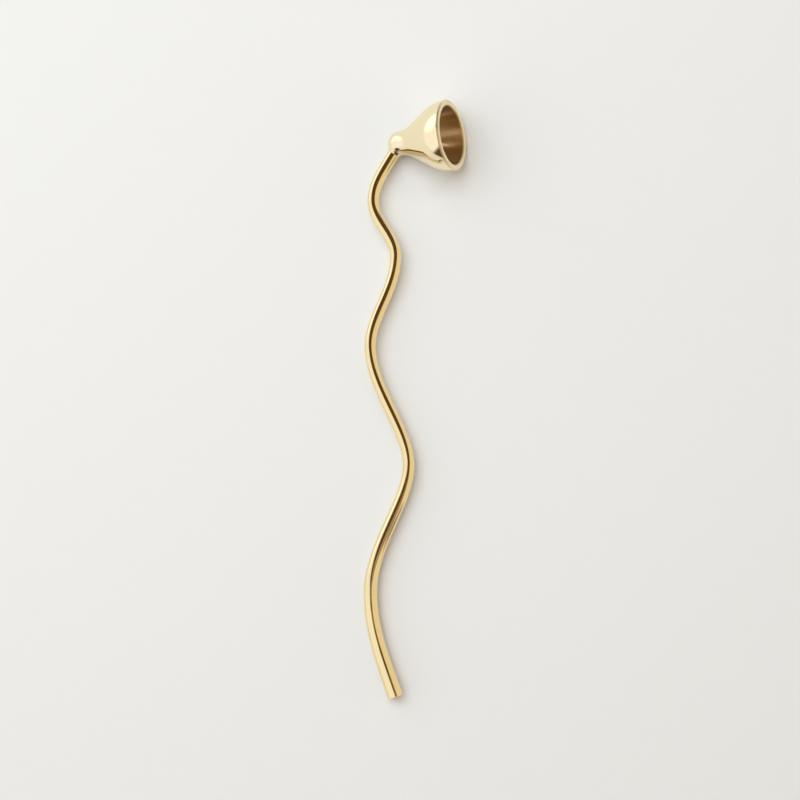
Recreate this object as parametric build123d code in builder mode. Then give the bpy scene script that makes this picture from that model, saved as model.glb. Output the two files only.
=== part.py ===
from build123d import *
import os
from math import asin, atan2, cos, degrees, hypot, radians, sin, sqrt, tan

# A candle snuffer of polished brass: a turned bell, brazed to the end of a long rod that
# is bent into loose waves and swells towards its tail.
# It lies on a table, as it does when it isn't in use. +X is the side that the bell opens
# to, +Y runs from the tail to the bell, and +Z is up. The origin is the middle of the
# outline seen from above, on the table. Lengths are in millimetres, angles in degrees.

# Bell: lengths along it run from the end of the neck, which is a ball, to the lip
bell_length = 29.5
rim_diameter = 29.8
lip_width = 2.5
lip_rounding = 0.85
neck_diameter = 10.4

# Cup inside the bell: its floor wall is the solid metal between the neck's end and the floor
cup_floor_wall = 9.0
cup_floor_diameter = 7.6
cup_floor_rounding = 1.7

# Arcs of the flare and the cup, as shares of the widest two that fit end to end
flare_hollow_share = 0.331
flare_belly_share = 0.512
cup_hollow_share = 0.217

# Handle: its reach is measured from the centre of the ball to the tail
handle_reach = 235.0
wave_swing = 16.0
rod_diameter = 5.1
waist_diameter = 4.65
tail_diameter = 6.8
tail_bevel = 0.35
tail_bevel_angle = 45.0

# Crests of the waves, from the bell to the tail: how far down the reach and how far
# across the swing each one is
crest_down_shares = (0.106, 0.205, 0.367, 0.581, 0.811)
crest_across_shares = (-0.714, -0.12, -0.792, 0.228, -0.785)
tail_across_share = -0.12

# How quickly the rod's swelling dies away from the bell and from the tail
bell_swell_power = 6
tail_swell_power = 3

# Directions: the bell's axis from +X, and the rod at each end from straight down the handle
bell_swing = 5.8
exit_angle = -31.6
tail_angle = 18.8

# Joint: the rod's end sits in a blind hole in the ball and is brazed there
hole_past_centre = 1.0
hole_clearance = 0.05
braze_leg = 0.9
braze_sink = 0.15
braze_hollow_radius = 5.0

# How strongly the rod holds its direction where it leaves the bell, at each crest and at
# the tail, and how many round sections it is lofted through
hold_shares = (1.2, 0.96, 1.07, 0.98, 0.84, 1.06, 1.13)
rod_sections = 30

rim_radius = rim_diameter / 2
mouth_radius = rim_radius - lip_width
neck_radius = neck_diameter / 2
rod_radius = rod_diameter / 2
lip_place = bell_length - lip_rounding
lip_ring_radius = rim_radius - lip_rounding


def widest_arcs(rise, length):
    """The radii of two arcs added up, when they join end to end and both ends run along the axis."""
    return (rise**2 + length**2) / (2 * rise)


def turn_between(hollow, belly, rise, length):
    """How far two arcs turn, in degrees, when a line joins them and both ends run along the axis."""
    return degrees(
        atan2(rise - hollow - belly, length)
        + asin((hollow + belly) / hypot(rise - hollow - belly, length))
    )


# The flare from the ball to the lip: it hollows out, runs straight, then bellies
flare_length = lip_place - neck_radius
flare_widest = widest_arcs(rim_radius - neck_radius, flare_length)
flare_hollow_radius = flare_hollow_share * flare_widest
flare_belly_radius = flare_belly_share * flare_widest

# How the bell lies: its ball and the belly of its flare both touch the table
belly_offset = rim_radius - flare_belly_radius
bell_tilt = atan2(belly_offset, flare_length) + asin(
    (flare_belly_radius - neck_radius) / hypot(belly_offset, flare_length)
)
bell_axis = Vector(
    cos(bell_tilt) * cos(radians(bell_swing)),
    cos(bell_tilt) * sin(radians(bell_swing)),
    sin(bell_tilt),
)


def girth(share):
    """The rod's diameter at a share of its length: it swells from its waist to both ends."""
    swell_to_bell = (rod_diameter - waist_diameter) * (1 - share) ** bell_swell_power
    swell_to_tail = (tail_diameter - waist_diameter) * share**tail_swell_power
    return waist_diameter + swell_to_bell + swell_to_tail


# The outline from above, measured from the ball, puts the origin in its middle
lip_centre = bell_axis * flare_length
outline_right = lip_centre.X + lip_ring_radius * sqrt(1 - bell_axis.X**2) + lip_rounding
outline_back = lip_centre.Y + lip_ring_radius * sqrt(1 - bell_axis.Y**2) + lip_rounding
outline_left = min(
    across * wave_swing - girth(down) / 2
    for across, down in zip(crest_across_shares, crest_down_shares)
)
tail_face_radius = tail_diameter / 2 - tail_bevel * tan(radians(tail_bevel_angle))
outline_front = -handle_reach - tail_face_radius * sin(radians(tail_angle))
ball_centre = Vector(
    -(outline_left + outline_right) / 2, -(outline_front + outline_back) / 2, neck_radius
)

# The handle's plane: X across it, Y towards the bell. It falls to the tail, which touches
# the table.
handle_fall = degrees(asin((neck_radius - tail_diameter / 2) / handle_reach))
handle_plane = Plane(ball_centre).rotated((handle_fall, 0, 0))


def in_handle(across_share, down_share):
    """A point of the handle's plane, as shares of its swing and its reach."""
    local = Vector(across_share * wave_swing, -down_share * handle_reach)
    return handle_plane.from_local_coords(local)


def down_handle(angle):
    """The direction that runs down the handle, turned to +X by an angle."""
    across, up = sin(radians(angle)), -cos(radians(angle))
    return handle_plane.x_dir * across + handle_plane.y_dir * up


rod_direction = down_handle(exit_angle)
rod_seat = ball_centre - rod_direction * hole_past_centre
rod_straight = neck_radius + braze_leg
bend_start = ball_centre + rod_direction * rod_straight
tail_direction = down_handle(tail_angle)
bevel_start = in_handle(tail_across_share, 1) - tail_direction * tail_bevel

# The bell's section plane: X is the radius, Y runs from the end of the neck to the lip
neck_end = ball_centre - bell_axis * neck_radius
bell_side = Vector(sin(radians(bell_swing)), -cos(radians(bell_swing)))
bell_section = Plane(neck_end, x_dir=bell_side, z_dir=bell_side.cross(bell_axis))

# The cup does as the flare does, with the wall as thick in its belly as at the lip
cup_start = cup_floor_wall + cup_floor_rounding
cup_length = lip_place - cup_start
cup_radius = cup_floor_diameter / 2
cup_hollow_radius = cup_hollow_share * widest_arcs(mouth_radius - cup_radius, cup_length)
cup_belly_radius = flare_belly_radius - lip_width

# Blank of the bell, turned inside and out
flare_turn = turn_between(
    flare_hollow_radius, flare_belly_radius, rim_radius - neck_radius, flare_length
)
cup_turn = turn_between(
    cup_hollow_radius, cup_belly_radius, mouth_radius - cup_radius, cup_length
)
with BuildPart() as blank:
    with BuildSketch(bell_section):
        with BuildLine():
            # Ball and flare
            TangentArc((0, 0), (neck_radius, neck_radius), tangent=(1, 0))
            flare_hollow = JernArc(
                (neck_radius, neck_radius), (0, 1), flare_hollow_radius, -flare_turn
            )
            flare_belly = JernArc(
                (rim_radius, lip_place), (0, -1), flare_belly_radius, -flare_turn
            )
            Line(flare_hollow @ 1, flare_belly @ 1)
            # Lip
            TangentArc(
                (rim_radius, lip_place), (lip_ring_radius, bell_length), tangent=(0, 1)
            )
            Line((lip_ring_radius, bell_length), (mouth_radius + lip_rounding, bell_length))
            TangentArc(
                (mouth_radius + lip_rounding, bell_length),
                (mouth_radius, lip_place),
                tangent=(-1, 0),
            )
            # Cup
            cup_belly = JernArc(
                (mouth_radius, lip_place), (0, -1), cup_belly_radius, -cup_turn
            )
            cup_hollow = JernArc((cup_radius, cup_start), (0, 1), cup_hollow_radius, -cup_turn)
            Line(cup_belly @ 1, cup_hollow @ 1)
            TangentArc(
                (cup_radius, cup_start),
                (cup_radius - cup_floor_rounding, cup_floor_wall),
                tangent=(0, -1),
            )
            Line((cup_radius - cup_floor_rounding, cup_floor_wall), (0, cup_floor_wall))
            Line((0, cup_floor_wall), (0, 0))
        make_face()
    revolve(axis=Axis(neck_end, bell_axis))

# Bell: the blank, with the blind hole for the rod
with BuildPart() as bell:
    add(blank.part)
    with BuildSketch(Plane(rod_seat, z_dir=rod_direction)):
        Circle(rod_radius + hole_clearance)
    extrude(amount=hole_past_centre + neck_diameter, mode=Mode.SUBTRACT)
bell.part.label = "bell"

# Handle: a straight end in the hole, then the waves, lofted through round sections, then
# the bevelled tail. The rod runs straight down the handle at each crest.
crests = [
    in_handle(across, down) for across, down in zip(crest_across_shares, crest_down_shares)
]
with BuildLine() as spine:
    Spline(
        [bend_start, *crests, bevel_start],
        tangents=[rod_direction, *(down_handle(0) for crest in crests), tail_direction],
        tangent_scalars=hold_shares,
    )
waves = spine.wire()
with BuildPart() as handle:
    for section in range(rod_sections + 1):
        share = section / rod_sections
        with BuildSketch(Plane(waves @ share, x_dir=handle_plane.z_dir, z_dir=waves % share)):
            Circle(girth(share) / 2)
    loft()
    with BuildSketch(Plane(rod_seat, z_dir=rod_direction)):
        Circle(rod_radius)
    extrude(amount=hole_past_centre + rod_straight)
    with BuildSketch(Plane(bevel_start, z_dir=tail_direction)):
        Circle(tail_diameter / 2)
    extrude(amount=tail_bevel, taper=tail_bevel_angle)
handle.part.label = "handle"

# Braze: the ring of metal that fills the corner between the rod and the ball. Its plane has
# X as the distance from the rod's axis and Y along the rod, from the centre of the ball.
rod_side = handle_plane.z_dir
rod_section = Plane(ball_centre, x_dir=rod_side, z_dir=rod_side.cross(rod_direction))
seam_place = sqrt(neck_radius**2 - rod_radius**2)
braze_rim_radius = rod_radius + braze_leg
braze_rim_place = sqrt(neck_radius**2 - braze_rim_radius**2) - braze_sink
braze_base = braze_rim_place - braze_leg
with BuildPart() as braze_fillet:
    with BuildSketch(rod_section):
        with BuildLine():
            Line((rod_radius, braze_base), (rod_radius, seam_place + braze_leg))
            RadiusArc(
                (rod_radius, seam_place + braze_leg),
                (braze_rim_radius, braze_rim_place),
                braze_hollow_radius,
            )
            Line((braze_rim_radius, braze_rim_place), (braze_rim_radius, braze_base))
            Line((braze_rim_radius, braze_base), (rod_radius, braze_base))
        make_face()
    revolve(axis=Axis(ball_centre, rod_direction))
    add(blank.part, mode=Mode.SUBTRACT)
braze_fillet.part.label = "braze_fillet"

os.makedirs("parts", exist_ok=True)
export_step(bell.part, "parts/bell.step")
export_step(handle.part, "parts/handle.step")
export_step(braze_fillet.part, "parts/braze_fillet.step")
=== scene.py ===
from math import asin, atan2, cos, hypot, pi, radians, sin, sqrt

import bmesh
import bpy
from mathutils import Matrix, Vector


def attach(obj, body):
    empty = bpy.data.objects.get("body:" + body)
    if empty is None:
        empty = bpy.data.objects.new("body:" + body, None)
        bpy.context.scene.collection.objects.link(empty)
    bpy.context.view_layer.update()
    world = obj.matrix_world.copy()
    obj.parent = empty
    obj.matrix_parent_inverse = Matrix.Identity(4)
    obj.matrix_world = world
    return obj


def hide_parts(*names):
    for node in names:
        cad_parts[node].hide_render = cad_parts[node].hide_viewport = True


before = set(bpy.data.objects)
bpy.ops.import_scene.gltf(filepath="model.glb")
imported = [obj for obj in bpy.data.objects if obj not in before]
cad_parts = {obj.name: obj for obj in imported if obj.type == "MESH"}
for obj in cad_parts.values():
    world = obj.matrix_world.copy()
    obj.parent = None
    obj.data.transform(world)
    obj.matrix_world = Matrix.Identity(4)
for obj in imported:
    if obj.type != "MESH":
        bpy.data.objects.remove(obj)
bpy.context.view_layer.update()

bl_info = {
    "name": "Candle Snuffer",
    "version": (1, 0, 0),
    "blender": (4, 5, 0),
    "location": "3D View > Sidebar > Snuffer",
    "description": "Makes a candle snuffer of polished brass and the table that it lies on",
    "category": "Object",
}


def hex_colour(code):
    """Turn a colour written as six sRGB hex digits into linear red, green and blue."""
    # The numbers are those of the sRGB standard's curve
    parts = [int(code[place : place + 2], 16) / 255 for place in (0, 2, 4)]
    return [part / 12.92 if part <= 0.04045 else ((part + 0.055) / 1.055) ** 2.4 for part in parts]


def length(name, description, default):
    """A property that holds a length in metres."""
    return bpy.props.FloatProperty(
        name=name, description=description, default=default, min=0.0, precision=5,
        subtype="DISTANCE", unit="LENGTH",
    )


def angle(name, description, degrees):
    """A property that holds an angle, given here in degrees."""
    return bpy.props.FloatProperty(
        name=name, description=description, default=radians(degrees), subtype="ANGLE",
        unit="ROTATION",
    )


def colour(name, description, code):
    """A property that holds a colour."""
    return bpy.props.FloatVectorProperty(
        name=name, description=description, default=hex_colour(code), size=3, min=0.0, max=1.0,
        subtype="COLOR",
    )


def amount(name, description, default):
    """A property that holds a share or a roughness, from 0 to 1."""
    return bpy.props.FloatProperty(
        name=name, description=description, default=default, min=0.0, max=1.0, precision=3
    )


def coordinate(name, description, default):
    """A property that holds a place along one axis, in metres."""
    return bpy.props.FloatProperty(
        name=name, description=description, default=default, precision=5,
        subtype="DISTANCE", unit="LENGTH",
    )


class SnufferSizes(bpy.types.PropertyGroup):
    """Sizes of the snuffer, the same as those of its solids."""

    bell_length: length("Bell length", "From the end of the neck to the lip", 0.0295)
    rim_diameter: length("Rim", "Across the lip, outside", 0.0298)
    lip_width: length("Lip width", "Thickness of the wall at the lip", 0.0025)
    lip_rounding: length("Lip rounding", "Radius on both edges of the lip", 0.00085)
    neck_diameter: length("Neck", "Diameter of the ball that the bell starts from", 0.0104)
    flare_hollow_share: amount("Flare hollow", "Radius, as a share of the widest arcs", 0.331)
    flare_belly_share: amount("Flare belly", "Radius, as a share of the widest arcs", 0.512)
    cup_hollow_share: amount("Cup hollow", "Radius, as a share of the widest arcs", 0.217)
    cup_floor_wall: length("Cup floor wall", "Solid metal from the neck's end to the cup", 0.009)
    cup_floor_diameter: length("Cup floor", "Diameter of the cup where its floor starts", 0.0076)
    cup_floor_rounding: length("Cup corner", "Radius between the cup's wall and floor", 0.0017)
    handle_reach: length("Handle reach", "From the centre of the ball to the tail", 0.235)
    wave_swing: length("Wave swing", "Length that the crests are shares of, across", 0.016)
    rod_diameter: length("Rod", "Thickness of the rod at the bell", 0.0051)
    waist_diameter: length("Waist", "Thickness of the rod where it is thinnest", 0.00465)
    tail_diameter: length("Tail", "Thickness of the rod at its tail", 0.0068)
    tail_bevel: length("Tail bevel", "Width of the bevel round the tail's end", 0.00035)
    hole_past_centre: length("Seat", "How far the rod goes past the ball's centre", 0.001)
    braze_leg: length("Braze", "Size of the ring of filler metal", 0.0009)
    braze_sink: length("Braze sink", "How far the ring's edge is under the ball", 0.00015)
    braze_hollow: length("Braze hollow", "Radius of the ring's hollow face", 0.005)
    bell_swing: angle("Bell swing", "Turn of the bell's axis from +X", 5.8)
    exit_angle: angle("Exit", "Turn of the rod at the bell", -31.6)
    tail_angle: angle("Tail angle", "Turn of the rod at its tail", 18.8)


class SnufferFinish(bpy.types.PropertyGroup):
    """Colours and surface of the brass."""

    brass: colour("Brass", "Polished brass seen straight on", "FBECC6")
    rod: colour("Rod brass", "Drawn brass of the rod, yellower than the bell", "F7E3B2")
    turned: colour("Turned brass", "Brass inside the bell, dulled by the tool", "DABE94")
    braze: colour("Filler metal", "Brazing brass of the ring", "F4E3B6")
    polish_roughness: amount("Polish", "Roughness of the mirror polish", 0.08)
    satin_roughness: amount("Satin", "Roughness inside the bell", 0.35)
    lip_roughness: amount("Lip", "Roughness of the lip, where it is set down", 0.5)


class SnufferStudio(bpy.types.PropertyGroup):
    """The table and the camera."""

    floor: colour("Table", "Colour of the table", "EFEEEA")
    height: length("Camera height", "Height of the camera above the table", 0.8)
    view_width: length("View width", "Width of the table in the picture", 0.34176)
    centre_x: coordinate("Centre X", "Where the camera looks, across", -0.0063)
    centre_y: coordinate("Centre Y", "Where the camera looks, along", 0.00064)


# The waves of the rod, from the bell to the tail: how far down the reach and how far across
# the swing each crest is, and how strongly the rod holds its direction at each point
CRESTS_DOWN = (0.106, 0.205, 0.367, 0.581, 0.811)
CRESTS_ACROSS = (-0.714, -0.12, -0.792, 0.228, -0.785)
TAIL_ACROSS = -0.12
HOLDS = (1.2, 0.96, 1.07, 0.98, 0.84, 1.06, 1.13)
BELL_SWELL_POWER = 6
TAIL_SWELL_POWER = 3

# Steps along each part of the bell's outline, and round the bell
BALL_STEPS = 24
FLARE_HOLLOW_STEPS = 32
FLARE_BELLY_STEPS = 40
STRAIGHT_STEPS = 4
LIP_ROUNDING_STEPS = 8
LIP_FACE_STEPS = 3
CUP_BELLY_STEPS = 32
CUP_HOLLOW_STEPS = 16
CUP_CORNER_STEPS = 8
CUP_FLOOR_STEPS = 4
BELL_ROUND_STEPS = 192

# Steps along the rod's straight end, along each span of its waves, and round the rod
ROD_END_STEPS = 12
ROD_SPAN_STEPS = 64
ROD_ROUND_STEPS = 64

# Steps along the braze's hollow face and round it, and the angle past which an edge is sharp
BRAZE_FACE_STEPS = 12
BRAZE_ROUND_STEPS = 96
BRAZE_SHARP_ANGLE = radians(25)

# Vertices nearer to each other than this are made one, in metres
MERGE_DISTANCE = 1e-6

# Where each of the bell's materials stands in its list
POLISHED, TURNED, RUBBED = range(3)

# The room that the metal shows: a white wall on the left and a dim brown one on the right,
# and from where to where along X the one gives way to the other
LEFT_WALL = (1.0, 1.0, 0.99)
RIGHT_WALL = (0.30, 0.22, 0.15)
WALLS_MEET = (-0.1, 0.3)

# What stands in front of the walls: the direction of its middle, its half widths along X, Y
# and Z, the softness of its edge and its light. The later ones cover the earlier.
ANY_HEIGHT = 1e3
PATCHES = (
    # A warm card low on the right
    ((0.95, 0.10, 0.3), (0.62, 0.52, ANY_HEIGHT), 0.06, (0.88, 0.74, 0.52)),
    # A dark low front
    ((-0.05, -1.15, 0.0), (0.80, 0.68, ANY_HEIGHT), 0.12, (0.11, 0.06, 0.025)),
    # A dark ceiling above the snuffer
    ((0.0, 0.5, 0.5), (0.75, 0.62, ANY_HEIGHT), 0.05, (0.10, 0.055, 0.022)),
    # A white wall low at the back, on the left
    ((-0.55, 1.06, 0.0), (0.38, 0.32, ANY_HEIGHT), 0.15, (1.0, 0.98, 0.94)),
    # A window low to the upper left
    ((-0.80, 0.52, 0.20), (0.36, 0.40, 0.36), 0.4, (1.35, 1.36, 1.42)),
    # A small bright window that draws the streak in the cup
    ((0.37, 0.48, 0.80), (0.08, 0.08, 0.30), 0.3, (8.0, 7.9, 7.5)),
)

# The lamp: its place and width in metres, its power in watts and its colour
LAMP_PLACE = (-0.56, 0.58, 1.45)
LAMP_WIDTH = 1.7
LAMP_POWER = 23.3
LAMP_COLOUR = (0.83, 0.91, 1.0)

# Half the table's width in metres, and the width of the camera's sensor in millimetres
TABLE_HALF_WIDTH = 3.0
SENSOR_WIDTH = 36.0

# The Mix node's sockets for colours, whose names it gives to others too
MIX_ONE, MIX_OTHER, MIX_RESULT = 6, 7, 2


class Layout:
    """The places and directions that follow from the sizes."""

    def __init__(self, sizes):
        self.sizes = sizes
        self.rim = sizes.rim_diameter / 2
        self.mouth = self.rim - sizes.lip_width
        self.neck = sizes.neck_diameter / 2
        self.rod = sizes.rod_diameter / 2
        self.lip_place = sizes.bell_length - sizes.lip_rounding
        self.lip_ring = self.rim - sizes.lip_rounding
        self.flare_length = self.lip_place - self.neck
        # The arcs of the flare and of the cup are shares of the widest two that fit end to end
        widest = widest_arcs(self.rim - self.neck, self.flare_length)
        self.flare_hollow = sizes.flare_hollow_share * widest
        self.flare_belly = sizes.flare_belly_share * widest
        self.cup_start = sizes.cup_floor_wall + sizes.cup_floor_rounding
        self.cup_radius = sizes.cup_floor_diameter / 2
        self.cup_length = self.lip_place - self.cup_start
        widest = widest_arcs(self.mouth - self.cup_radius, self.cup_length)
        self.cup_hollow = sizes.cup_hollow_share * widest
        self.cup_belly = self.flare_belly - sizes.lip_width
        # The ball and the belly of the flare both touch the table
        offset = self.rim - self.flare_belly
        tilt = atan2(offset, self.flare_length) + asin(
            (self.flare_belly - self.neck) / hypot(offset, self.flare_length)
        )
        swing = sizes.bell_swing
        self.axis = Vector((cos(tilt) * cos(swing), cos(tilt) * sin(swing), sin(tilt)))
        lip = self.axis * self.flare_length
        right = lip.x + self.lip_ring * sqrt(1 - self.axis.x**2) + sizes.lip_rounding
        back = lip.y + self.lip_ring * sqrt(1 - self.axis.y**2) + sizes.lip_rounding
        left = min(
            across * sizes.wave_swing - self.girth(down) / 2
            for across, down in zip(CRESTS_ACROSS, CRESTS_DOWN)
        )
        tail_face = sizes.tail_diameter / 2 - sizes.tail_bevel
        front = -sizes.handle_reach - tail_face * sin(sizes.tail_angle)
        self.ball = Vector((-(left + right) / 2, -(front + back) / 2, self.neck))
        fall = asin((self.neck - sizes.tail_diameter / 2) / sizes.handle_reach)
        self.side = Vector((1, 0, 0))
        self.along = Vector((0, cos(fall), sin(fall)))
        self.up = self.side.cross(self.along)
        self.rod_direction = self.down(sizes.exit_angle)
        self.tail_direction = self.down(sizes.tail_angle)
        self.rod_seat = self.ball - self.rod_direction * sizes.hole_past_centre
        self.bend_start = self.ball + self.rod_direction * (self.neck + sizes.braze_leg)
        self.bevel_start = self.place(TAIL_ACROSS, 1) - self.tail_direction * sizes.tail_bevel

    def girth(self, share):
        """The rod's thickness at a share of its length."""
        sizes = self.sizes
        to_bell = (sizes.rod_diameter - sizes.waist_diameter) * (1 - share) ** BELL_SWELL_POWER
        to_tail = (sizes.tail_diameter - sizes.waist_diameter) * share**TAIL_SWELL_POWER
        return sizes.waist_diameter + to_bell + to_tail

    def place(self, across, down):
        """A point of the handle's plane, as shares of its swing and reach."""
        sizes = self.sizes
        step = self.side * (across * sizes.wave_swing) - self.along * (down * sizes.handle_reach)
        return self.ball + step

    def down(self, turn):
        """The direction down the handle, turned to +X by an angle."""
        return self.side * sin(turn) - self.along * cos(turn)

    def route(self):
        """The rod's line after its straight end: its points, and its direction at each."""
        crests = [self.place(x, y) for x, y in zip(CRESTS_ACROSS, CRESTS_DOWN)]
        points = [self.bend_start, *crests, self.bevel_start]
        turns = [self.rod_direction, *(self.down(0) for crest in crests), self.tail_direction]
        return points, turns


def widest_arcs(rise, run):
    """The radii of two arcs added up, when they join end to end and leave no room for a line."""
    return (rise**2 + run**2) / (2 * rise)


def turn_between(hollow, belly, rise, run):
    """How far two arcs turn when a line joins them and both ends run along the axis."""
    away = rise - hollow - belly
    return atan2(away, run) + asin((hollow + belly) / hypot(away, run))


def axis_matrix(origin, direction):
    """A placing whose Z is a direction."""
    return Matrix.Translation(origin) @ direction.to_track_quat("Z", "Y").to_matrix().to_4x4()


def start_outline(mesh, radius, height):
    """Start an outline in the XZ plane with one vertex, and return the vertex."""
    made = bmesh.ops.create_vert(mesh, co=(radius, 0, height))
    return made["vert"][0]


def draw_arc(mesh, tip, centre, turn, steps):
    """Carry the outline's tip round a centre of the XZ plane, and return the new tip."""
    made = bmesh.ops.spin(
        mesh, geom=[tip], cent=(centre[0], 0, centre[1]), axis=(0, -1, 0), angle=turn,
        steps=steps, use_merge=False, use_duplicate=False,
    )
    return next(item for item in made["geom_last"] if isinstance(item, bmesh.types.BMVert))


def draw_line(mesh, tip, radius, height, steps):
    """Carry the outline's tip along a line in even steps, and return the new tip."""
    start = tip.co.copy()
    end = Vector((radius, 0, height))
    for step in range(1, steps + 1):
        tip = bmesh.ops.extrude_vert_indiv(mesh, verts=[tip])["verts"][0]
        tip.co = start.lerp(end, step / steps)
    return tip


def spin_outline(mesh, steps):
    """Spin the whole outline once round the Z axis and close it."""
    bmesh.ops.spin(
        mesh, geom=mesh.verts[:] + mesh.edges[:], cent=(0, 0, 0), axis=(0, 0, 1), angle=2 * pi,
        steps=steps, use_merge=True, use_duplicate=False,
    )
    bmesh.ops.remove_doubles(mesh, verts=mesh.verts[:], dist=MERGE_DISTANCE)
    bmesh.ops.recalc_face_normals(mesh, faces=mesh.faces[:])


def finish_piece(name, mesh, materials, node):
    """Make the object of a piece, give it its finish and put it in its node's place."""
    for face in mesh.faces:
        face.smooth = True
    data = bpy.data.meshes.new(name)
    mesh.to_mesh(data)
    mesh.free()
    for material in materials:
        data.materials.append(material)
    piece = bpy.data.objects.new(name, data)
    bpy.context.scene.collection.objects.link(piece)
    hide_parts(node)
    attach(piece, "root")


def add_node(tree, kind, inputs=None, **settings):
    """Add a node, set its properties, and give each input its value or its link."""
    node = tree.nodes.new(kind)
    for name, value in settings.items():
        setattr(node, name, value)
    for place, source in (inputs or {}).items():
        if isinstance(source, bpy.types.NodeSocket):
            tree.links.new(source, node.inputs[place])
        else:
            node.inputs[place].default_value = source
    return node


def add_noise(tree, scale, detail, roughness):
    """Noise that is fixed to the piece. Its scale is how many of its spots go in a metre."""
    place = add_node(tree, "ShaderNodeTexCoord").outputs["Object"]
    inputs = {"Vector": place, "Scale": scale, "Detail": detail, "Roughness": roughness}
    return add_node(tree, "ShaderNodeTexNoise", inputs).outputs["Fac"]


def add_bump(tree, height, distance):
    """A bump as high as a noise, times a distance in metres."""
    inputs = {"Height": height, "Strength": 1.0, "Distance": distance}
    return add_node(tree, "ShaderNodeBump", inputs).outputs["Normal"]


def spread(tree, noise, low, high):
    """Spread a noise, nearly all of which lies between 0.3 and 0.7, from low to high."""
    inputs = {"Value": noise, "From Min": 0.3, "From Max": 0.7, "To Min": low, "To Max": high}
    return add_node(tree, "ShaderNodeMapRange", inputs).outputs["Result"]


def start_material(name):
    """An empty node material and its tree."""
    material = bpy.data.materials.new(name)
    material.use_nodes = True
    material.node_tree.nodes.clear()
    return material, material.node_tree


def end_material(tree, inputs):
    """Add the shader that a material ends in, with its inputs."""
    shader = add_node(tree, "ShaderNodeBsdfPrincipled", inputs)
    add_node(tree, "ShaderNodeOutputMaterial", {"Surface": shader.outputs["BSDF"]})


def polished_brass(name, tint, polish):
    """Brass polished on a cloth wheel to a mirror, in the colour of its alloy."""
    # A wheel leaves the metal bright but never quite flat, so a slow swell of the surface
    # bends the reflections, and hairlines finer than the render show as a slight haze
    material, tree = start_material(name)
    # The swell is 9 mm from crest to crest, and each crest about 0.01 mm high
    swell = add_noise(tree, scale=110.0, detail=1.0, roughness=0.4)
    # The haze comes and goes over 4 mm
    haze = add_noise(tree, scale=250.0, detail=4.0, roughness=0.6)
    end_material(tree, {
        "Base Color": (*tint, 1.0),
        "Metallic": 1.0,
        "Roughness": spread(tree, haze, polish * 0.7, polish * 1.4),
        "Normal": add_bump(tree, swell, 0.00004),
    })
    return material


def turned_brass(finish, axis):
    """Brass as the boring tool left it inside the bell."""
    # The tool's rings run round the cup, so light spreads across them, along the bell's axis
    material, tree = start_material("Brass as turned inside the bell")
    along = add_node(tree, "ShaderNodeCombineXYZ", {"X": axis.x, "Y": axis.y, "Z": axis.z})
    # Its dullness comes and goes over 5.6 mm
    stain = add_noise(tree, scale=180.0, detail=3.0, roughness=0.6)
    satin = finish.satin_roughness
    end_material(tree, {
        "Base Color": (*finish.turned, 1.0),
        "Metallic": 1.0,
        "Roughness": spread(tree, stain, satin * 0.85, satin * 1.15),
        "Anisotropic": 0.9,
        "Tangent": along.outputs["Vector"],
    })
    return material


def lip_brass(finish):
    """Brass of the lip, faced flat and rubbed soft."""
    # The bell stands on its lip, and each standing rubs its polish, so it shines less
    material, tree = start_material("Brass rubbed soft at the lip")
    # The rubbed spots are about 3 mm wide
    rubs = add_noise(tree, scale=350.0, detail=3.0, roughness=0.6)
    rubbed = finish.lip_roughness
    end_material(tree, {
        "Base Color": (*finish.brass, 1.0),
        "Metallic": 1.0,
        "Roughness": spread(tree, rubs, rubbed * 0.9, rubbed * 1.1),
    })
    return material


def braze_metal(finish):
    """Brazing brass, filed and polished with the rod."""
    # Softer than the rod, so the wheel leaves it a little duller
    material, tree = start_material("Brazing brass polished with the rod")
    # Its pits are about 1.1 mm wide and under 0.01 mm deep
    pits = add_noise(tree, scale=900.0, detail=2.0, roughness=0.5)
    end_material(tree, {
        "Base Color": (*finish.braze, 1.0),
        "Metallic": 1.0,
        "Roughness": finish.polish_roughness * 3,
        "Normal": add_bump(tree, pits, 0.00001),
    })
    return material


def honed_stone(tint):
    """White stone of the table, sawn and then honed flat."""
    # Honed and not polished, so it hardly shines
    material, tree = start_material("White honed stone")
    end_material(tree, {"Base Color": (*tint, 1.0), "Roughness": 0.6})
    return material


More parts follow.
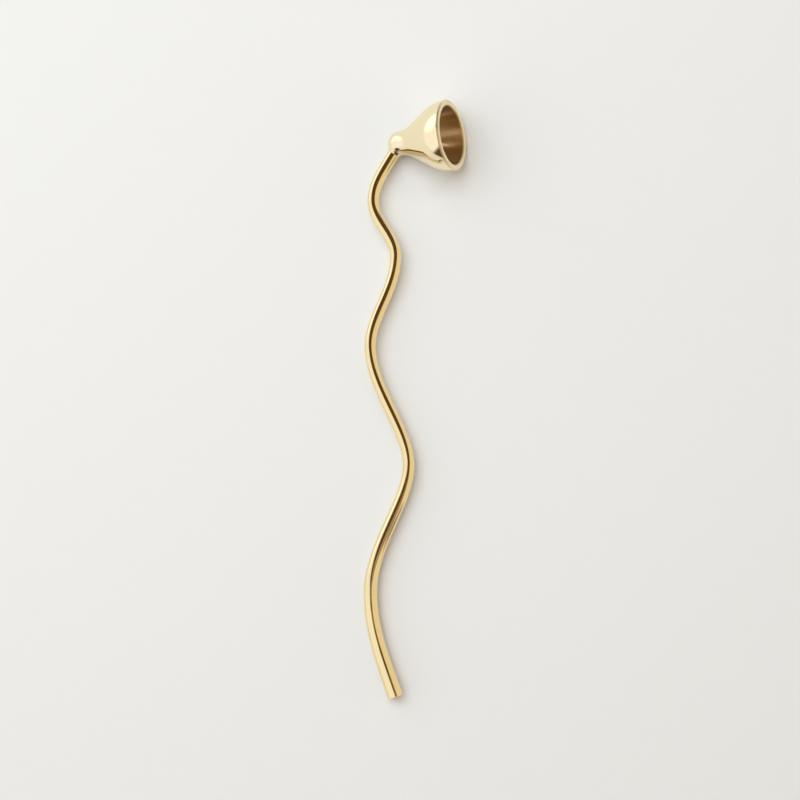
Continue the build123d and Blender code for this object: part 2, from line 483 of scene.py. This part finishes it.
class SNUFFER_OT_bell(bpy.types.Operator):
    """Spin the bell: its ball, flare, lip and cup, from one outline"""

    bl_idname = "snuffer.bell"
    bl_label = "Make the bell"

    def execute(self, context):
        sizes = context.scene.snuffer_sizes
        finish = context.scene.snuffer_finish
        layout = Layout(sizes)
        mesh = bmesh.new()
        # Ball and flare: heights run from the end of the neck to the lip
        turn = turn_between(
            layout.flare_hollow, layout.flare_belly, layout.rim - layout.neck,
            layout.flare_length,
        )
        hollow_centre = (layout.neck + layout.flare_hollow, layout.neck)
        belly_centre = (layout.rim - layout.flare_belly, layout.lip_place)
        belly_start = (
            belly_centre[0] + layout.flare_belly * cos(turn),
            belly_centre[1] - layout.flare_belly * sin(turn),
        )
        tip = start_outline(mesh, 0, 0)
        tip = draw_arc(mesh, tip, (0, layout.neck), pi / 2, BALL_STEPS)
        tip = draw_arc(mesh, tip, hollow_centre, -turn, FLARE_HOLLOW_STEPS)
        tip = draw_line(mesh, tip, *belly_start, STRAIGHT_STEPS)
        tip = draw_arc(mesh, tip, belly_centre, turn, FLARE_BELLY_STEPS)
        # Lip
        outer_centre = (layout.lip_ring, layout.lip_place)
        inner_centre = (layout.mouth + sizes.lip_rounding, layout.lip_place)
        tip = draw_arc(mesh, tip, outer_centre, pi / 2, LIP_ROUNDING_STEPS)
        tip = draw_line(mesh, tip, inner_centre[0], sizes.bell_length, LIP_FACE_STEPS)
        tip = draw_arc(mesh, tip, inner_centre, pi / 2, LIP_ROUNDING_STEPS)
        # Cup
        turn = turn_between(
            layout.cup_hollow, layout.cup_belly, layout.mouth - layout.cup_radius,
            layout.cup_length,
        )
        belly_centre = (layout.mouth - layout.cup_belly, layout.lip_place)
        hollow_centre = (layout.cup_radius + layout.cup_hollow, layout.cup_start)
        hollow_start = (
            hollow_centre[0] - layout.cup_hollow * cos(turn),
            hollow_centre[1] + layout.cup_hollow * sin(turn),
        )
        corner_centre = (layout.cup_radius - sizes.cup_floor_rounding, layout.cup_start)
        tip = draw_arc(mesh, tip, belly_centre, -turn, CUP_BELLY_STEPS)
        tip = draw_line(mesh, tip, *hollow_start, STRAIGHT_STEPS)
        tip = draw_arc(mesh, tip, hollow_centre, turn, CUP_HOLLOW_STEPS)
        tip = draw_arc(mesh, tip, corner_centre, -pi / 2, CUP_CORNER_STEPS)
        draw_line(mesh, tip, 0, sizes.cup_floor_wall, CUP_FLOOR_STEPS)
        spin_outline(mesh, BELL_ROUND_STEPS)
        self.choose_finishes(mesh, sizes, layout)
        end = layout.ball - layout.axis * layout.neck
        bmesh.ops.transform(mesh, matrix=axis_matrix(end, layout.axis), verts=mesh.verts[:])
        polish = polished_brass("Cast brass polished bright", finish.brass, finish.polish_roughness)
        materials = [polish, turned_brass(finish, layout.axis), lip_brass(finish)]
        finish_piece("snuffer_bell", mesh, materials, "bell")
        return {"FINISHED"}

    def choose_finishes(self, mesh, sizes, layout):
        """Choose each face's material: turned in the cup, rubbed on the lip, else polished."""
        for face in mesh.faces:
            middle = face.calc_center_median()
            across = hypot(middle.x, middle.y)
            inward = face.normal.x * middle.x + face.normal.y * middle.y < 0
            wall = across < layout.mouth and inward
            floor = across < layout.cup_radius and middle.z > sizes.cup_floor_wall / 2
            if wall or floor:
                face.material_index = TURNED
            elif middle.z > layout.lip_place:
                face.material_index = RUBBED
            else:
                face.material_index = POLISHED


class SNUFFER_OT_handle(bpy.types.Operator):
    """Draw the rod through its waves, with its straight end in the ball and its bevelled tail"""

    bl_idname = "snuffer.handle"
    bl_label = "Make the handle"

    def execute(self, context):
        sizes = context.scene.snuffer_sizes
        finish = context.scene.snuffer_finish
        layout = Layout(sizes)
        mesh = bmesh.new()
        loops = []
        for point, heading, radius in self.plan_rings(sizes, layout):
            # Z of each ring is the rod's heading, and X stands on the handle's plane
            across = heading.cross(layout.up)
            placing = Matrix((layout.up, across, heading)).transposed().to_4x4()
            placing.translation = point
            made = bmesh.ops.create_circle(
                mesh, cap_ends=False, segments=ROD_ROUND_STEPS, radius=radius, matrix=placing
            )
            loops.append(edges_round(made["verts"]))
        for one, other in zip(loops, loops[1:]):
            bmesh.ops.bridge_loops(mesh, edges=one + other)
        bmesh.ops.contextual_create(mesh, geom=loops[0])
        bmesh.ops.contextual_create(mesh, geom=loops[-1])
        bmesh.ops.recalc_face_normals(mesh, faces=mesh.faces[:])
        # Sharp edges on both sides of the bevel, and round the end in the ball
        for edge in loops[-1] + loops[-2] + loops[0]:
            edge.smooth = False
        polish = polished_brass("Drawn brass polished bright", finish.rod, finish.polish_roughness)
        finish_piece("snuffer_handle", mesh, [polish], "handle")
        return {"FINISHED"}

    def plan_rings(self, sizes, layout):
        """The rings from the rod's end in the ball to its tail: centre, heading and radius."""
        rings = []
        straight = layout.bend_start - layout.rod_seat
        for step in range(ROD_END_STEPS):
            point = layout.rod_seat + straight * (step / ROD_END_STEPS)
            rings.append((point, layout.rod_direction, layout.rod))
        # Each span is a cubic curve. The arm that holds its direction at either end is a third
        # of the way to its other end, times the hold there.
        points, turns = layout.route()
        chords = [(end - start).length for start, end in zip(points, points[1:])]
        whole = sum(chords)
        done = 0.0
        for index, chord in enumerate(chords):
            start, end = points[index : index + 2]
            reach_out = start + turns[index] * (HOLDS[index] * chord / 3)
            reach_back = end - turns[index + 1] * (HOLDS[index + 1] * chord / 3)
            for step in range(ROD_SPAN_STEPS):
                t = step / ROD_SPAN_STEPS
                s = 1 - t
                point = (
                    start * s**3 + reach_out * (3 * s**2 * t) + reach_back * (3 * s * t**2)
                    + end * t**3
                )
                heading = (
                    (reach_out - start) * s**2 + (reach_back - reach_out) * (2 * s * t)
                    + (end - reach_back) * t**2
                )
                share = (done + chord * t) / whole
                rings.append((point, heading.normalized(), layout.girth(share) / 2))
            done += chord
        # Tail, with its bevel
        tail_end = layout.bevel_start + layout.tail_direction * sizes.tail_bevel
        tail_radius = sizes.tail_diameter / 2
        rings.append((layout.bevel_start, layout.tail_direction, tail_radius))
        rings.append((tail_end, layout.tail_direction, tail_radius - sizes.tail_bevel))
        return rings


def edges_round(verts):
    """The edges round a ring that nothing is joined to yet, in the order of its vertices."""
    edges = []
    for vert in verts:
        edges += [edge for edge in vert.link_edges if edge not in edges]
    return edges


class SNUFFER_OT_braze(bpy.types.Operator):
    """Spin the ring of filler metal that joins the rod to the ball"""

    bl_idname = "snuffer.braze"
    bl_label = "Make the braze"

    def execute(self, context):
        sizes = context.scene.snuffer_sizes
        finish = context.scene.snuffer_finish
        layout = Layout(sizes)
        seam = sqrt(layout.neck**2 - layout.rod**2)
        rim = layout.rod + sizes.braze_leg
        rim_place = sqrt(layout.neck**2 - rim**2) - sizes.braze_sink
        top = seam + sizes.braze_leg
        base = rim_place - sizes.braze_leg
        # The ring's face is a hollow arc between the rod and the ball
        radius = sizes.braze_hollow
        chord = Vector((rim - layout.rod, rim_place - top))
        outward = Vector((-chord.y, chord.x)).normalized()
        middle = Vector((layout.rod, top)) + chord / 2
        centre = middle + outward * sqrt(radius**2 - (chord.length / 2) ** 2)
        turn = 2 * asin(chord.length / 2 / radius)
        mesh = bmesh.new()
        tip = start_outline(mesh, layout.rod, base)
        tip = draw_line(mesh, tip, layout.rod, top, 1)
        tip = draw_arc(mesh, tip, tuple(centre), turn, BRAZE_FACE_STEPS)
        tip = draw_line(mesh, tip, rim, base, 1)
        draw_line(mesh, tip, layout.rod, base, 1)
        spin_outline(mesh, BRAZE_ROUND_STEPS)
        for edge in mesh.edges:
            if edge.calc_face_angle(0) > BRAZE_SHARP_ANGLE:
                edge.smooth = False
        placing = axis_matrix(layout.ball, layout.rod_direction)
        bmesh.ops.transform(mesh, matrix=placing, verts=mesh.verts[:])
        finish_piece("snuffer_braze", mesh, [braze_metal(finish)], "braze_fillet")
        return {"FINISHED"}


class SNUFFER_OT_stage(bpy.types.Operator):
    """Set the table, the light and the camera"""

    bl_idname = "snuffer.stage"
    bl_label = "Set the stage"

    def execute(self, context):
        studio = context.scene.snuffer_studio
        scene = context.scene
        scene.view_settings.view_transform = "Standard"
        self.lay_table(scene, studio)
        self.light_room(scene)
        self.hang_lamp(scene)
        self.place_camera(scene, studio)
        return {"FINISHED"}

    def lay_table(self, scene, studio):
        """Lay a plain pale table."""
        mesh = bmesh.new()
        bmesh.ops.create_grid(mesh, x_segments=1, y_segments=1, size=TABLE_HALF_WIDTH)
        data = bpy.data.meshes.new("table")
        mesh.to_mesh(data)
        mesh.free()
        data.materials.append(honed_stone(studio.floor))
        table = bpy.data.objects.new("table", data)
        scene.collection.objects.link(table)

    def light_room(self, scene):
        """Put a room round the table: its walls, and what stands in front of them."""
        world = bpy.data.worlds.new("Room")
        world.use_nodes = True
        tree = world.node_tree
        tree.nodes.clear()
        way = add_node(tree, "ShaderNodeTexCoord").outputs["Generated"]
        across = add_node(tree, "ShaderNodeSeparateXYZ", {"Vector": way}).outputs["X"]
        right = self.soft_step(tree, across, *WALLS_MEET)
        glow = self.blend(tree, right, LEFT_WALL, RIGHT_WALL)
        for centre, half_widths, softness, light in PATCHES:
            away = self.reckon(tree, "SUBTRACT", way, centre).outputs["Vector"]
            away = self.reckon(tree, "DIVIDE", away, half_widths).outputs["Vector"]
            distance = self.reckon(tree, "LENGTH", away).outputs["Value"]
            outside = self.soft_step(tree, distance, 1 - softness, 1 + softness)
            glow = self.blend(tree, outside, light, glow)
        shader = add_node(tree, "ShaderNodeBackground", {"Color": glow, "Strength": 1.0})
        add_node(tree, "ShaderNodeOutputWorld", {"Surface": shader.outputs["Background"]})
        scene.world = world

    def reckon(self, tree, operation, *vectors):
        """Reckon with one vector or two."""
        return add_node(
            tree, "ShaderNodeVectorMath", dict(enumerate(vectors)), operation=operation
        )

    def soft_step(self, tree, value, low, high):
        """Rise smoothly from 0 to 1 as a value goes from low to high."""
        inputs = {"Value": value, "From Min": low, "From Max": high}
        step = add_node(tree, "ShaderNodeMapRange", inputs, interpolation_type="SMOOTHSTEP")
        return step.outputs["Result"]

    def blend(self, tree, factor, one, other):
        """Go from one colour to the other as a factor goes from 0 to 1."""
        one, other = ((*side, 1.0) if isinstance(side, tuple) else side for side in (one, other))
        inputs = {"Factor": factor, MIX_ONE: one, MIX_OTHER: other}
        mix = add_node(tree, "ShaderNodeMix", inputs, data_type="RGBA")
        return mix.outputs[MIX_RESULT]

    def hang_lamp(self, scene):
        """Hang one wide soft lamp high on the left, for the short shadows."""
        data = bpy.data.lights.new("daylight", "AREA")
        data.shape = "DISK"
        data.size = LAMP_WIDTH
        data.energy = LAMP_POWER
        data.color = LAMP_COLOUR
        lamp = bpy.data.objects.new("daylight", data)
        lamp.location = LAMP_PLACE
        lamp.rotation_euler = lamp.location.to_track_quat("Z", "Y").to_euler()
        # The metal shows the room and not the lamp
        lamp.visible_glossy = False
        lamp.visible_camera = False
        scene.collection.objects.link(lamp)

    def place_camera(self, scene, studio):
        """Put the camera straight above the table."""
        data = bpy.data.cameras.new("camera")
        data.sensor_width = SENSOR_WIDTH
        data.lens = SENSOR_WIDTH * studio.height / studio.view_width
        camera = bpy.data.objects.new("camera", data)
        camera.location = (studio.centre_x, studio.centre_y, studio.height)
        scene.collection.objects.link(camera)
        scene.camera = camera


class SNUFFER_PT_panel(bpy.types.Panel):
    """Sizes, finishes and steps of the snuffer"""

    bl_label = "Snuffer"
    bl_idname = "SNUFFER_PT_panel"
    bl_space_type = "VIEW_3D"
    bl_region_type = "UI"
    bl_category = "Snuffer"

    def draw(self, context):
        layout = self.layout
        for title, group in (
            ("Sizes", context.scene.snuffer_sizes),
            ("Finish", context.scene.snuffer_finish),
            ("Studio", context.scene.snuffer_studio),
        ):
            box = layout.box()
            box.label(text=title)
            for name in group.__annotations__:
                box.prop(group, name)
        for step in STEPS:
            layout.operator(step.bl_idname)


GROUPS = (
    ("snuffer_sizes", SnufferSizes),
    ("snuffer_finish", SnufferFinish),
    ("snuffer_studio", SnufferStudio),
)
STEPS = (SNUFFER_OT_bell, SNUFFER_OT_handle, SNUFFER_OT_braze, SNUFFER_OT_stage)


def register():
    """Register the groups, the steps and the panel."""
    for name, group in GROUPS:
        bpy.utils.register_class(group)
        setattr(bpy.types.Scene, name, bpy.props.PointerProperty(type=group))
    for step in STEPS:
        bpy.utils.register_class(step)
    bpy.utils.register_class(SNUFFER_PT_panel)


def unregister():
    """Take the panel, the steps and the groups off again."""
    bpy.utils.unregister_class(SNUFFER_PT_panel)
    for step in reversed(STEPS):
        bpy.utils.unregister_class(step)
    for name, group in reversed(GROUPS):
        delattr(bpy.types.Scene, name)
        bpy.utils.unregister_class(group)


def main():
    """Make the whole scene."""
    register()
    bpy.ops.snuffer.bell()
    bpy.ops.snuffer.handle()
    bpy.ops.snuffer.braze()
    bpy.ops.snuffer.stage()


if __name__ == "__main__":
    main()
